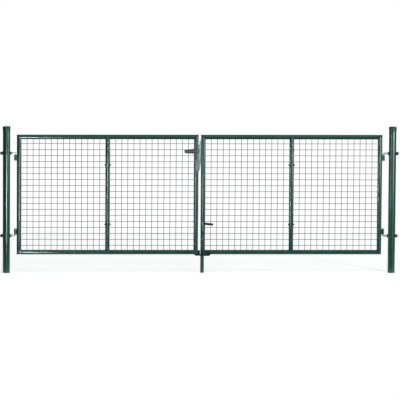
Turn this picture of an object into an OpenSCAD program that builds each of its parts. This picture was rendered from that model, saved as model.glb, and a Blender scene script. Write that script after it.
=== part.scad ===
// Double-leaf wire mesh gate hung between two round posts.
// X runs along the gateway and Z is up. The left leaf opens towards -Y and the right leaf towards +Y.
// The origin is the centre of the left post's foot.

/* [Gateway] */
// Width of one leaf over its frame
leaf_w = 1500; // [1000:10:1900]
// Height of one leaf over its frame
leaf_h = 1000; // [800:10:1300]
// Height of the leaves' lower edge over the posts' feet
leaf_z = 152; // [120:1:200]
// Clear gap between a leaf and its post
side_gap = 55; // [50:1:70]
// Clear gap between the two leaves
centre_gap = 20; // [18:1:24]

/* [Posts] */
// Outer diameter of a post
post_d = 60; // [50:1:76]
// Wall of a post
post_wall = 2; // [1.5:0.5:4]
// How far a post with its cap stands over the leaves
post_over = 68; // [50:1:150]
// Depth that a post is set into what holds it
post_set = 140; // [100:5:200]
// Height of a post cap's skirt
cap_h = 40; // [20:1:60]
// Thickness of a cap's top
cap_top = 3; // [2:0.5:6]
// Thickness of a cap's skirt at its foot
cap_wall = 1; // [0.8:0.1:3]
// How much wider a cap is at its top than at its foot
cap_flare = 2.5; // [0:0.5:6]

/* [Leaf frames] */
// Outer diameter of the frame tubes
tube_d = 38; // [34:1:42]
// Wall of the frame tubes
tube_wall = 2; // [1.5:0.5:3]
// Diameter of the mesh wires
wire_d = 4; // [2:0.5:5]
// Spacing of the mesh wires
wire_pitch = 50; // [40:1:60]
// Thread diameter of the bolts through the middle bars
bar_bolt_d = 8; // [6:1:10]
// Width across flats of those bolts' heads and nuts
bar_bolt_flats = 13; // [10:1:17]
// Thickness of those bolts' heads and nuts
bar_bolt_head = 6; // [4:0.5:10]

/* [Hinges] */
// Diameter of the hook bolts
hook_d = 16; // [12:1:18]
// Radius of a hook's bend at its centreline
hook_bend = 12; // [10:0.5:16]
// Outer diameter of a hinge barrel
barrel_d = 23; // [21:0.5:28]
// Length of a hinge barrel
barrel_l = 44; // [30:1:60]
// Radial clearance of a hook in its barrel
hook_play = 0.05; // [0.02:0.01:0.1]
// Distance from a leaf's upper or lower edge to a barrel's middle
barrel_inset = 191; // [150:1:260]
// Width across flats of the hook nuts
nut_flats = 24; // [21:1:30]
// Thickness of the outer nuts
nut_h = 16; // [10:1:20]
// Thickness of the inner nuts
inner_nut_h = 6; // [4:1:12]
// Thickness of a saddle washer at its middle
washer_t = 2; // [1:0.5:4]
// Length of thread past the outer nut
thread_end = 12; // [4:1:20]

/* [Lock] */
// Height of the levers over the posts' feet
lever_z = 1015; // [960:1:1060]
// Distance from the levers down to the key cylinder
cylinder_drop = 92; // [85:1:98]
// Distance from the meeting stile's middle to the spindle
spindle_offset = 12; // [10:0.5:14]
// Distance from the meeting stile's middle to the forend's face
forend_offset = 31; // [30:0.5:33]
// Length of the forend
forend_h = 230; // [220:1:260]
// Width of the forend
forend_w = 22; // [20:1:24]
// Thickness of the forend
forend_t = 3; // [2:0.5:4]
// Thickness of the lock case
case_t = 16; // [15:0.5:18]
// Wall of the lock case
case_wall = 1.5; // [1:0.5:2]
// Length of a lever from the spindle to its tip
lever_l = 112; // [90:1:130]
// Height of a lever at its neck
lever_h = 28; // [20:1:32]
// Thickness of a lever
lever_t = 12; // [8:1:16]
// Side of the square spindle
spindle_side = 8; // [7:1:9]
// Width of an escutcheon
scutcheon_w = 30; // [26:1:34]
// Height of an escutcheon
scutcheon_h = 90; // [80:1:110]

/* [Drop bolt] */
// Diameter of the drop rod
rod_d = 14; // [12:1:16]
// Length of the drop rod
rod_l = 330; // [300:5:420]
// Height of the handle over the posts' feet with the rod raised
grip_z = 411; // [380:1:460]
// Travel of the drop rod
rod_travel = 45; // [30:1:60]
// Angle between the handle and the leaf, towards the front
grip_angle = 35; // [25:1:45]
// Angle that the handle turns into its parking notch
grip_turn = 40; // [20:1:45]
// Diameter of the handle's stem
stem_d = 10; // [8:1:12]
// Diameter of the handle's grip
grip_d = 19; // [16:1:22]
// Reach of the handle from the rod's middle
grip_reach = 98; // [80:1:120]

/* [Ground stop] */
// Outer diameter of the ground socket
socket_d = 31; // [28:1:36]
// Wall of the ground socket
socket_wall = 2; // [1.5:0.5:3]
// Depth that the socket is set into the ground
socket_set = 120; // [80:5:130]
// How far the socket stands towards the middle of the gateway
socket_shift = 4; // [0:0.5:5]
// Length of the ground stop
stop_l = 140; // [120:1:170]
// Height of the ground stop's lugs over the foot's underside
stop_h = 40; // [30:1:60]
// Thickness of the ground stop
stop_t = 5; // [3:0.5:6]

/* [Hidden] */
$fn = 64;
slip = 0.3;
eps = 0.05;
wire_gap = 0.02;
post_r = post_d / 2;
tube_r = tube_d / 2;
bore_r = tube_r - tube_wall;
left_x = post_r + side_gap;
meet_x = left_x + leaf_w;
right_x = meet_x + centre_gap;
span = right_x + leaf_w + side_gap + post_r;
top_z = leaf_z + leaf_h;
post_h = top_z + post_over;
line_w = 1.5;
line_deep = 0.6;
// Hinge axes and the heights of the hook bolts' shanks
hinge_off = tube_r + barrel_d / 2 - 0.5;
left_axis = left_x + tube_r - hinge_off;
right_axis = span - left_axis;
low_barrel_z = leaf_z + barrel_inset - barrel_l / 2;
high_barrel_z = top_z - barrel_inset + barrel_l / 2;
low_hook_z = low_barrel_z - hook_bend - slip;
high_hook_z = high_barrel_z + hook_bend + 2;
hook_hole_r = hook_d / 2 + 0.25;
// Tube lines: hinge stile, meeting stile and middle bar of each leaf
stile_l1 = left_x + tube_r;
stile_l2 = meet_x - tube_r;
stile_r1 = right_x + tube_r;
stile_r2 = right_x + leaf_w - tube_r;
bar_l = left_x + leaf_w / 2;
bar_r = right_x + leaf_w / 2;
low_rail = leaf_z + tube_r;
high_rail = top_z - tube_r;
bar_bolt_z = [leaf_z + leaf_h / 4 + 2, top_z - leaf_h / 4 - 2];
// Lock axes and faces
lock_x = stile_l2 + spindle_offset;
face_x = stile_l2 + forend_offset;
case_x = stile_l2 - bore_r + 3;
case_end = face_x - forend_t;
cylinder_z = lever_z - cylinder_drop;
case_under = 33;
case_over = 55;
case_low = cylinder_z - case_under;
case_high = lever_z + case_over;
forend_z = (case_low + case_high) / 2 + 9;
case_in = case_t / 2 - case_wall;
hub_r = 9;
neck_r = 9;
rose_r = 14;
rose_y = tube_r + 7;
scutcheon_over = 17;
lever_y = tube_r + 22;
nose_arm = 17;
nose_r = 3;
latch_z = lever_z + 30;
latch_h = 18;
latch_half = 6;
latch_tip = right_x - 0.5;
bolt_z = (lever_z + cylinder_z) / 2 - 3;
bolt_h = 30;
bolt_t = 10;
bolt_l = 37;
bolt_slack = 0.2;
cylinder_r = 8.5;
cylinder_tail = 24.5;
cylinder_slab = 10;
screw_drop = 19.5;
screw_hole_r = 2.7;
screw_r = 2;
screw_head_r = 4.5;
screw_head_h = 2;
cylinder_l = 2 * (tube_r + 11);
plug_r = 6.5;
keyway_half = 1.2;
blade_half = 1.1;
blade_tall = 4.1;
bow_r = 12;
eye_r = 3;
cam_r = 14;
cam_t = 8;
// Keeper and drop bolt
keeper_t = 3;
keeper_gap = 2;
keeper_h = 200;
keeper_z = (lever_z + cylinder_z) / 2 + 34;
stop_y = tube_r + 0.5;
rod_x = stile_r1;
rod_low = leaf_z + 1;
socket_x = rod_x - socket_shift;
socket_top = leaf_z - 2;
leg_top = leaf_z - 4;
lug_chamfer = 17;
collar_w = 6;

GREEN = "#24453d";
ZINC = "#b9bcb9";
BLACK = "#1d1f20";

// A straight tube along Z from the given height
module tube(r, wall, z, h) {
    translate([0, 0, z])
        difference() {
            cylinder(h = h, r = r);
            translate([0, 0, -1]) cylinder(h = h + 2, r = r - wall);
        }
}

// A scored line round a tube along Z, which shows how deep the tube is set
module setting_line(r, z) {
    translate([0, 0, z])
        difference() {
            cylinder(h = line_w, r = r + 1);
            translate([0, 0, -1]) cylinder(h = line_w + 2, r = r - line_deep);
        }
}

// A box from its low corner to its high corner
module block(low, high) {
    translate(low) cube(high - low);
}

// ---- Posts and their fittings ----

module post(x) {
    color(GREEN)
        difference() {
            translate([x, 0, 0]) tube(post_r, post_wall, 0, post_h - cap_top);
            translate([x, 0, 0]) setting_line(post_r, post_set);
            for (z = [low_hook_z, high_hook_z])
                translate([x, 0, z])
                    rotate([0, 90, 0]) cylinder(h = post_d + 2, r = hook_hole_r, center = true);
        }
}

module post_cap(x) {
    foot_r = post_r + cap_wall;
    top_r = foot_r + cap_flare / 2 + 0.5;
    color("#16302a")
        translate([x, 0, post_h - cap_h])
            rotate_extrude()
                polygon([
                    [0, cap_h], [0, cap_h - cap_top],
                    [post_r + 0.15, cap_h - cap_top], [post_r + 0.15, 0], [foot_r, 0],
                    [top_r, cap_h - 5], [top_r - 1, cap_h - 2], [top_r - 4, cap_h]]);
}

// side is 1 where the leaf lies towards +X of its post; up is 1 where the pin points up
module hook(x, z, side, up) {
    axis = side * left_axis;
    back = post_r + washer_t + nut_h + thread_end;
    color(ZINC)
        translate([x, 0, z]) {
            translate([side > 0 ? -back : hook_bend - left_axis, 0, 0])
                rotate([0, 90, 0]) cylinder(h = back + left_axis - hook_bend, r = hook_d / 2);
            translate([axis - side * hook_bend, 0, up * hook_bend])
                mirror([side > 0 ? 0 : 1, 0, 0])
                    mirror([0, 0, up > 0 ? 0 : 1])
                        rotate([90, 0, 0])
                            rotate([0, 0, -90])
                                rotate_extrude(angle = 90)
                                    translate([hook_bend, 0]) circle(d = hook_d);
            translate([axis, 0, up > 0 ? hook_bend : -hook_bend - 2 - barrel_l - 6])
                cylinder(h = barrel_l + 8, r = hook_d / 2);
        }
}

// A nut along +X from its inner face, clear of the shank through it
module hook_nut(x, z, h) {
    translate([x, 0, z])
        rotate([0, 90, 0])
            difference() {
                cylinder(h = h, d = nut_flats / cos(30), $fn = 6);
                translate([0, 0, -1]) cylinder(h = h + 2, r = hook_d / 2 + eps);
            }
}

module outer_hook_nuts() {
    color(BLACK)
        for (z = [low_hook_z, high_hook_z]) {
            hook_nut(-post_r - washer_t - nut_h, z, nut_h);
            hook_nut(span + post_r + washer_t, z, nut_h);
        }
}

module inner_hook_nuts() {
    color(BLACK)
        for (z = [low_hook_z, high_hook_z]) {
            hook_nut(post_r + washer_t, z, inner_nut_h);
            hook_nut(span - post_r - washer_t - inner_nut_h, z, inner_nut_h);
        }
}

// Each washer is hollowed to sit on its post
module saddle_washers() {
    washer_r = nut_flats / 2 + 2;
    color(BLACK)
        for (x = [0, span])
            for (z = [low_hook_z, high_hook_z])
                for (turn = [0, 180])
                    translate([x, 0, z])
                        rotate([0, 0, turn])
                            difference() {
                                rotate([0, 90, 0]) cylinder(h = post_r + washer_t, r = washer_r);
                                cylinder(h = 4 * washer_r, r = post_r, center = true);
                                rotate([0, 90, 0]) cylinder(h = post_d, r = hook_d / 2 + eps);
                            }
}

module ground_socket() {
    color(GREEN)
        translate([socket_x, 0, 0])
            difference() {
                tube(socket_d / 2, socket_wall, 0, socket_top);
                setting_line(socket_d / 2, socket_set);
            }
}

// A flat foot round the socket with one lug behind the left leaf and one in front of the right leaf
module ground_stop() {
    foot_z = leg_top - stop_t;
    back = stop_y + stop_t;
    collar = socket_d / 2 + collar_w;
    low_x = socket_x - stop_l / 2;
    high_x = socket_x + stop_l / 2;
    color("#16302a")
        difference() {
            union() {
                block([low_x, 4 - socket_d / 2, foot_z], [socket_x, back, leg_top]);
                block([socket_x, -back, foot_z], [high_x, socket_d / 2 - 4, leg_top]);
                block([socket_x - collar, -collar, foot_z], [socket_x + collar, collar, leg_top]);
                block([low_x, stop_y, foot_z], [right_x - 2, back, foot_z + stop_h]);
                block([socket_x + 10, -back, foot_z], [high_x, -stop_y, foot_z + stop_h]);
            }
            translate([socket_x, 0, 0]) cylinder(h = leaf_z, r = socket_d / 2);
            for (x = [low_x, high_x])
                translate([x, 0, foot_z])
                    rotate([0, 45, 0]) cube([lug_chamfer, 4 * tube_d, lug_chamfer], center = true);
        }
}

// ---- Leaf frames ----

// Keeps what lies inside the two mitre planes at the ends of a tube along Z
module mitre_cut(h, inward) {
    for (end = [0, 1])
        translate([0, 0, end * h])
            mirror([0, 0, end])
                rotate([0, inward * 45, 0])
                    translate([0, 0, -tube_d]) cube([4 * tube_d, 2 * tube_d, 2 * tube_d], center = true);
}

// inward is 1 where the rest of the leaf lies towards +X
module stile(x, inward) {
    translate([x, 0, low_rail])
        difference() {
            translate([0, 0, -tube_r]) tube(tube_r, tube_wall, 0, leaf_h);
            mitre_cut(high_rail - low_rail, -inward);
        }
}

// inward is 1 for the bottom rail and -1 for the top rail
module rail(x, z, inward) {
    h = leaf_w - tube_d;
    color(GREEN)
        translate([x, 0, z])
            rotate([0, 90, 0])
                difference() {
                    translate([0, 0, -tube_r]) tube(tube_r, tube_wall, 0, leaf_w);
                    mitre_cut(h, inward);
                }
}

// The bottom rail of the right leaf has a hole for the drop rod
module right_bottom_rail() {
    color(GREEN)
        difference() {
            rail(stile_r1, low_rail, 1);
            translate([rod_x, 0, leaf_z - 1]) cylinder(h = tube_d, r = rod_d / 2 + 1);
        }
}

module middle_bar(x) {
    color(GREEN)
        difference() {
            translate([x, 0, 0]) tube(tube_r, tube_wall, low_rail, high_rail - low_rail);
            for (z = [low_rail, high_rail])
                translate([x, 0, z]) rotate([0, 90, 0]) cylinder(h = 2 * tube_d, r = tube_r, center = true);
            for (z = bar_bolt_z)
                translate([x, 0, z])
                    rotate([0, 90, 0]) cylinder(h = 2 * tube_d, r = bar_bolt_d / 2 + slip, center = true);
        }
}

// Upright wires in front and level wires behind, spaced evenly from the panel's middle
module mesh_panel(x1, x2) {
    z1 = leaf_z + tube_d;
    z2 = top_z - tube_d;
    across = floor((x2 - x1) / wire_pitch) - 1;
    up = floor((z2 - z1) / wire_pitch) - 1;
    layer = (wire_d + wire_gap) / 2;
    color("#5c6a66") {
        for (i = [0:across])
            translate([(x1 + x2) / 2 + (i - across / 2) * wire_pitch, -layer, z1 + slip])
                cylinder(h = z2 - z1 - 2 * slip, d = wire_d, $fn = 24);
        for (i = [0:up])
            translate([x1 + slip, layer, (z1 + z2) / 2 + (i - up / 2) * wire_pitch])
                rotate([0, 90, 0]) cylinder(h = x2 - x1 - 2 * slip, d = wire_d, $fn = 24);
    }
}

// A barrel coped to the stile that it is welded to
module barrel(x, z, stile_x) {
    color(GREEN)
        difference() {
            translate([x, 0, z]) cylinder(h = barrel_l, d = barrel_d);
            translate([x, 0, z - 1]) cylinder(h = barrel_l + 2, r = hook_d / 2 + hook_play);
            translate([stile_x, 0, z - 1]) cylinder(h = barrel_l + 2, r = tube_r);
        }
}

module bar_bolts(x) {
    color("#3a4441")
        for (z = bar_bolt_z)
            translate([x - tube_r - bar_bolt_head, 0, z])
                rotate([0, 90, 0]) {
                    cylinder(h = bar_bolt_head, d = bar_bolt_flats / cos(30), $fn = 6);
                    cylinder(h = tube_d + 2 * bar_bolt_head + 3, d = bar_bolt_d);
                }
}

module bar_nuts(x) {
    color("#3a4441")
        for (z = bar_bolt_z)
            translate([x + tube_r, 0, z])
                rotate([0, 90, 0])
                    difference() {
                        cylinder(h = bar_bolt_head, d = bar_bolt_flats / cos(30), $fn = 6);
                        translate([0, 0, -1]) cylinder(h = bar_bolt_head + 2, r = bar_bolt_d / 2 + eps);
                    }
}

// ---- Lock in the left leaf ----

// The key cylinder's outline along Y, grown by a clearance
module cylinder_form(y1, y2, grow) {
    translate([lock_x, y2, cylinder_z]) rotate([90, 0, 0]) cylinder(h = y2 - y1, r = cylinder_r + grow);
    block([lock_x - cylinder_slab / 2 - grow, y1, cylinder_z - cylinder_tail - grow],
        [lock_x + cylinder_slab / 2 + grow, y2, cylinder_z]);
}

// A round pin along Y through the lock's axis
module lock_pin(y1, y2, z, r) {
    translate([lock_x, y2, z]) rotate([90, 0, 0]) cylinder(h = y2 - y1, r = r);
}

module left_meeting_stile() {
    color(GREEN)
        difference() {
            stile(stile_l2, -1);
            block([stile_l2, -case_t / 2 - bolt_slack, case_low - bolt_slack],
                [meet_x + 1, case_t / 2 + bolt_slack, case_high + bolt_slack]);
            lock_pin(-tube_d, tube_d, lever_z, neck_r + 1);
            cylinder_form(-tube_d, tube_d, 0.5);
        }
}

// Openings along +X for the latch, the deadbolt and the cylinder's screw
module bolt_openings(x) {
    block([x, -latch_half - bolt_slack, latch_z - latch_h / 2 - bolt_slack],
        [face_x + 1, latch_half + bolt_slack, latch_z + latch_h / 2 + bolt_slack]);
    block([x, -bolt_t / 2 - bolt_slack, bolt_z - bolt_h / 2 - bolt_slack],
        [face_x + 1, bolt_t / 2 + bolt_slack, bolt_z + bolt_h / 2 + bolt_slack]);
    translate([x, 0, cylinder_z - screw_drop]) rotate([0, 90, 0]) cylinder(h = 10, r = screw_hole_r);
}

module lock_case() {
    color(ZINC)
        difference() {
            block([case_x, -case_t / 2, case_low], [case_end, case_t / 2, case_high]);
            block([case_x + case_wall, -case_in, case_low + case_wall],
                [case_end - case_wall, case_in, case_high - case_wall]);
            lock_pin(-case_t, case_t, lever_z, neck_r + 0.5);
            cylinder_form(-case_t, case_t, 0.2);
            bolt_openings(case_end - 5);
        }
}

module lock_forend() {
    color(ZINC)
        difference() {
            block([case_end, -forend_w / 2, forend_z - forend_h / 2],
                [face_x, forend_w / 2, forend_z + forend_h / 2]);
            bolt_openings(case_end - 1);
        }
}

// The lowest and highest y of a rose or escutcheon; side is -1 in front of the leaf and 1 behind it
function furniture_low(side) = side > 0 ? case_t / 2 + 0.5 : -rose_y;
function furniture_high(side) = side > 0 ? rose_y : -case_t / 2 - 0.5;

module rose(side) {
    color(BLACK)
        difference() {
            lock_pin(furniture_low(side), furniture_high(side), lever_z, rose_r);
            translate([stile_l2, 0, case_low]) cylinder(h = leaf_h / 2, r = tube_r);
            lock_pin(-tube_d, tube_d, lever_z, neck_r + 0.5);
        }
}

module escutcheon(side) {
    y1 = furniture_low(side);
    y2 = furniture_high(side);
    r = scutcheon_w / 2;
    high = cylinder_z + scutcheon_over - r;
    low = high + 2 * r - scutcheon_h;
    color(ZINC)
        difference() {
            union() {
                lock_pin(y1, y2, high, r);
                lock_pin(y1, y2, low, r);
                block([lock_x - r, y1, low], [lock_x + r, y2, high]);
            }
            translate([stile_l2, 0, leaf_z]) cylinder(h = leaf_h - tube_d, r = tube_r);
            cylinder_form(-tube_d, tube_d, 0.2);
        }
}

module key_cylinder() {
    half = cylinder_l / 2;
    color("#c9b676")
        difference() {
            cylinder_form(-half, half, 0);
            lock_pin(-half - 1, half + 1, cylinder_z, plug_r + 0.05);
            block([lock_x - cylinder_slab, -cam_t / 2 - 0.3, cylinder_z - cam_r - 1],
                [lock_x + cylinder_slab, cam_t / 2 + 0.3, cylinder_z + cylinder_r + 1]);
            translate([lock_x, 0, cylinder_z - screw_drop])
                rotate([0, 90, 0]) cylinder(h = 2 * cylinder_slab, r = screw_r + 0.1, center = true);
        }
}

module cylinder_screw() {
    color(ZINC)
        translate([lock_x - 3, 0, cylinder_z - screw_drop])
            rotate([0, 90, 0]) {
                cylinder(h = face_x - lock_x + 3, r = screw_r);
                translate([0, 0, face_x - lock_x + 3]) cylinder(h = screw_head_h, r = screw_head_r);
            }
}

// The return spring's coil round the follower
module lever_spring() {
    color(ZINC)
        difference() {
            lock_pin(1.5, case_in - 0.5, lever_z, hub_r + 2.4);
            lock_pin(-case_in, case_in, lever_z, hub_r + 0.6);
        }
}

module lever(side) {
    tip_x = lock_x - lever_l;
    y = side * lever_y;
    color("#6d6a69")
        difference() {
            union() {
                lock_pin(side > 0 ? case_in : -lever_y, side > 0 ? lever_y : -case_in, lever_z, neck_r);
                hull() {
                    translate([lock_x, y, lever_z])
                        scale([1, lever_t / lever_h, 1]) sphere(d = lever_h, $fn = 32);
                    translate([lock_x - lever_l * 0.45, y, lever_z])
                        scale([1, lever_t / lever_h, 1]) sphere(d = lever_h, $fn = 32);
                    translate([tip_x + 7, y, lever_z - 4]) scale([1, 0.7, 1]) sphere(d = 14, $fn = 32);
                }
            }
            translate([lock_x, 0, lever_z])
                cube([spindle_side + 0.1, 2 * lever_y, spindle_side + 0.1], center = true);
        }
}

module spindle() {
    color(ZINC)
        translate([lock_x, 0, lever_z]) cube([spindle_side, 2 * lever_y - 1, spindle_side], center = true);
}

// The hub and the arm that draws the latch back
module lock_follower() {
    color(ZINC)
        difference() {
            union() {
                lock_pin(slip - case_in, case_in - slip, lever_z, hub_r);
                lock_pin(-4, 0, lever_z + nose_arm, nose_r);
                block([lock_x - 2.5, -4, lever_z], [lock_x + 2.5, 0, lever_z + nose_arm]);
            }
            translate([lock_x, 0, lever_z])
                cube([spindle_side + 0.1, 2 * case_t, spindle_side + 0.1], center = true);
        }
}

module latch_bolt() {
    low = latch_z - latch_h / 2;
    color(ZINC)
        difference() {
            union() {
                block([lock_x - 3, -latch_half, low], [latch_tip, latch_half, low + latch_h]);
                block([lock_x - 9, -latch_half, low - 8], [lock_x - 3.6, 1, low + latch_h]);
                block([lock_x - 4, -latch_half, low + 2], [lock_x, latch_half, low + latch_h]);
            }
            translate([latch_tip, latch_half, latch_z])
                rotate([0, 0, 45]) cube([8, 8, 2 * latch_h], center = true);
        }
}

module cylinder_plug() {
    half = cylinder_l / 2;
    color("#c9b676")
        difference() {
            union() {
                lock_pin(-half, half, cylinder_z, plug_r);
                lock_pin(-cam_t / 2, cam_t / 2, cylinder_z, cylinder_r - 0.3);
                intersection() {
                    lock_pin(-cam_t / 2, cam_t / 2, cylinder_z, cam_r);
                    block([lock_x - 4, -cam_t / 2, cylinder_z - cam_r], [lock_x + 4, cam_t / 2, cylinder_z]);
                }
            }
            block([lock_x - keyway_half, -half - 1, cylinder_z - blade_tall - 0.1],
                [lock_x + keyway_half, -cam_t / 2 - 1, cylinder_z + blade_tall + 0.1]);
        }
}

module key() {
    half = cylinder_l / 2;
    color(ZINC)
        difference() {
            union() {
                block([lock_x - blade_half, -half - 6, cylinder_z - blade_tall],
                    [lock_x + blade_half, -cam_t / 2 - 3, cylinder_z + blade_tall]);
                translate([lock_x, -half - 3 - bow_r, cylinder_z])
                    rotate([0, 90, 0]) cylinder(h = 2 * blade_half, r = bow_r, center = true);
            }
            translate([lock_x, -half - 2 * bow_r + eye_r, cylinder_z])
                rotate([0, 90, 0]) cylinder(h = 5, r = eye_r, center = true);
        }
}

module deadbolt() {
    low = bolt_z - bolt_h / 2;
    color(ZINC) {
        block([face_x - bolt_l, -bolt_t / 2, low], [face_x, bolt_t / 2, low + bolt_h]);
        block([face_x - bolt_l, -bolt_t / 2, cylinder_z + cam_r + 2],
            [face_x - bolt_l + 12, bolt_t / 2, low + 1]);
    }
}

// ---- Keeper and drop bolt on the right leaf ----

module right_meeting_stile() {
    notch_r = stem_d / 2 + 1;
    color(GREEN)
        difference() {
            stile(stile_r1, 1);
            block([right_x - 1, -bolt_t / 2 - 1, bolt_z - bolt_h / 2 - 2],
                [right_x + tube_wall + 6, bolt_t / 2 + 1, bolt_z + bolt_h / 2 + 2]);
            translate([rod_x, 0, grip_z - rod_travel - notch_r])
                rotate([0, 0, -grip_angle])
                    translate([0, -notch_r, -1])
                        cube([2 * tube_r, 2 * notch_r, rod_travel + 2 * notch_r + 2]);
            for (drop = [0, rod_travel])
                translate([rod_x, 0, grip_z - drop - notch_r])
                    rotate([0, 0, -grip_angle - grip_turn - 20])
                        rotate_extrude(angle = grip_turn + 20)
                            translate([tube_r / 2, 0]) square([tube_r, 2 * notch_r]);
        }
}

// An angle behind the gap with a leg on the stile, open to the front at the latch and the deadbolt
module keeper() {
    low = keeper_z - keeper_h / 2;
    high = keeper_z + keeper_h / 2;
    back = forend_w / 2 + keeper_gap;
    edge = lock_x + scutcheon_w / 2 + 1.5;
    color(ZINC)
        difference() {
            union() {
                block([right_x - keeper_t + 0.5, -9, low], [right_x + 0.5, back + keeper_t, high]);
                block([edge, back, low], [right_x + 0.5, back + keeper_t, high]);
            }
            translate([stile_r1, 0, leaf_z]) cylinder(h = leaf_h, r = tube_r);
            block([right_x - keeper_t, -10, latch_z - latch_h / 2 - 4],
                [right_x + 1, 8, latch_z + latch_h / 2 + 4]);
            block([right_x - keeper_t, -10, bolt_z - bolt_h / 2 - 10],
                [right_x + 1, 8, bolt_z + bolt_h / 2 + 10]);
        }
}

module rod_guides() {
    color(BLACK)
        for (z = [leaf_z + 2 * tube_d, grip_z - rod_travel - 60])
            translate([rod_x, 0, z])
                difference() {
                    cylinder(h = 15, r = bore_r);
                    translate([0, 0, -1]) cylinder(h = 17, r = rod_d / 2 + eps);
                }
}

module drop_rod() {
    color(ZINC) translate([rod_x, 0, rod_low]) cylinder(h = rod_l, r = rod_d / 2);
}

module drop_handle() {
    color(BLACK)
        translate([rod_x, 0, grip_z])
            rotate([0, 0, -grip_angle])
                rotate([0, 90, 0])
                    difference() {
                        union() {
                            cylinder(h = grip_reach - 10, r = stem_d / 2);
                            translate([0, 0, tube_r + 5])
                                cylinder(h = grip_reach - tube_r - 7, r = grip_d / 2);
                            translate([0, 0, grip_reach - 2])
                                cylinder(h = 2, r1 = grip_d / 2, r2 = grip_d / 2 - 2);
                        }
                        rotate([0, 90, 0]) cylinder(h = 4 * stem_d, r = rod_d / 2 + slip, center = true);
                    }
}

post(0);  // left_post
post(span);  // right_post
post_cap(0);  // left_post_cap
post_cap(span);  // right_post_cap
hook(0, high_hook_z, 1, -1);  // upper_left_hook
hook(0, low_hook_z, 1, 1);  // lower_left_hook
hook(span, high_hook_z, -1, -1);  // upper_right_hook
hook(span, low_hook_z, -1, 1);  // lower_right_hook
outer_hook_nuts();
inner_hook_nuts();
saddle_washers();
ground_socket();
ground_stop();
color(GREEN) stile(stile_l1, 1);  // left_hinge_stile
left_meeting_stile();
rail(stile_l1, high_rail, -1);  // left_top_rail
rail(stile_l1, low_rail, 1);  // left_bottom_rail
middle_bar(bar_l);  // left_middle_bar
mesh_panel(stile_l1 + tube_r, bar_l - tube_r);  // left_outer_mesh
mesh_panel(bar_l + tube_r, stile_l2 - tube_r);  // left_inner_mesh
barrel(left_axis, high_barrel_z - barrel_l, stile_l1);  // upper_left_barrel
barrel(left_axis, low_barrel_z, stile_l1);  // lower_left_barrel
bar_bolts(bar_l);  // left_bar_bolts
bar_nuts(bar_l);  // left_bar_nuts
lock_case();
lock_forend();
rose(-1);  // front_rose
rose(1);  // back_rose
escutcheon(-1);  // front_escutcheon
escutcheon(1);  // back_escutcheon
key_cylinder();
cylinder_screw();
lever_spring();
lever(-1);  // front_lever
lever(1);  // back_lever
spindle();
lock_follower();
latch_bolt();
cylinder_plug();
key();
deadbolt();
color(GREEN) stile(stile_r2, -1);  // right_hinge_stile
right_meeting_stile();
rail(stile_r1, high_rail, -1);  // right_top_rail
right_bottom_rail();
middle_bar(bar_r);  // right_middle_bar
mesh_panel(bar_r + tube_r, stile_r2 - tube_r);  // right_outer_mesh
mesh_panel(stile_r1 + tube_r, bar_r - tube_r);  // right_inner_mesh
barrel(right_axis, high_barrel_z - barrel_l, stile_r2);  // upper_right_barrel
barrel(right_axis, low_barrel_z, stile_r2);  // lower_right_barrel
bar_bolts(bar_r);  // right_bar_bolts
bar_nuts(bar_r);  // right_bar_nuts
keeper();
rod_guides();
drop_rod();
drop_handle();
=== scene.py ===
import logging
import math
from contextlib import contextmanager
from dataclasses import dataclass
from enum import Enum
from typing import Iterable, Iterator, Optional, Sequence

import bpy
from mathutils import Matrix, Vector


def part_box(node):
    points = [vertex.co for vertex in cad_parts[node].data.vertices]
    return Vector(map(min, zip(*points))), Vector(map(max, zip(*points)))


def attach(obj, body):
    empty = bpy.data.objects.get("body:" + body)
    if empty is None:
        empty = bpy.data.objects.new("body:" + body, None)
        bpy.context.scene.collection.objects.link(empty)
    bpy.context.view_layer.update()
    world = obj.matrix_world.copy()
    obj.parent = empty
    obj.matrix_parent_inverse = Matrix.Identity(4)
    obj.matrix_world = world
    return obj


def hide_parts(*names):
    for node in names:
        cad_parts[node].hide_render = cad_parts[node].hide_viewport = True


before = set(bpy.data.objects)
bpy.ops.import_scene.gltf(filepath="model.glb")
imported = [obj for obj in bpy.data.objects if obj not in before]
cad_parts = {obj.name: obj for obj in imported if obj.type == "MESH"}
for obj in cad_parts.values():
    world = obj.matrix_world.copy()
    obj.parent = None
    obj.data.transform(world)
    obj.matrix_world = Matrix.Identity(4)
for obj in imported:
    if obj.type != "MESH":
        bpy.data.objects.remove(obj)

LOG = logging.getLogger("mesh_gate")
MM = 0.001
Point = tuple[float, float, float]
Colour = tuple[float, float, float, float]
Thing = bpy.types.Object
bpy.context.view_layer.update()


# ---------------------------------------------------------------- finishes


def linear(hex_colour: str) -> Colour:
    """Turns an sRGB hex colour into the linear colour that a node takes.

    Args:
        hex_colour: a colour such as "#24453d".

    Returns:
        Linear red, green, blue and an alpha of 1.
    """
    channels = [int(hex_colour[i : i + 2], 16) / 255 for i in (1, 3, 5)]
    red, green, blue = (
        c / 12.92 if c <= 0.04045 else ((c + 0.055) / 1.055) ** 2.4 for c in channels
    )
    return red, green, blue, 1.0


def per(size_mm: float) -> float:
    """Returns the texture scale whose features are about size_mm across."""
    return 1.0 / (size_mm * MM)


def add(
    tree: bpy.types.NodeTree,
    kind: str,
    settings: Optional[dict] = None,
    links: Optional[dict] = None,
) -> bpy.types.Node:
    """Adds a node with its settings and links.

    Args:
        tree: the node tree to add to.
        kind: the node's type name after ShaderNode.
        settings: values by input name or number, or by the node's own property.
        links: output sockets by the input name or number that each one feeds.

    Returns:
        The new node.
    """
    node = tree.nodes.new("ShaderNode" + kind)
    for key, value in (settings or {}).items():
        if isinstance(key, str) and hasattr(node, key):
            setattr(node, key, value)
        else:
            node.inputs[key].default_value = value
    for key, source in (links or {}).items():
        tree.links.new(source, node.inputs[key])
    return node


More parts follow.
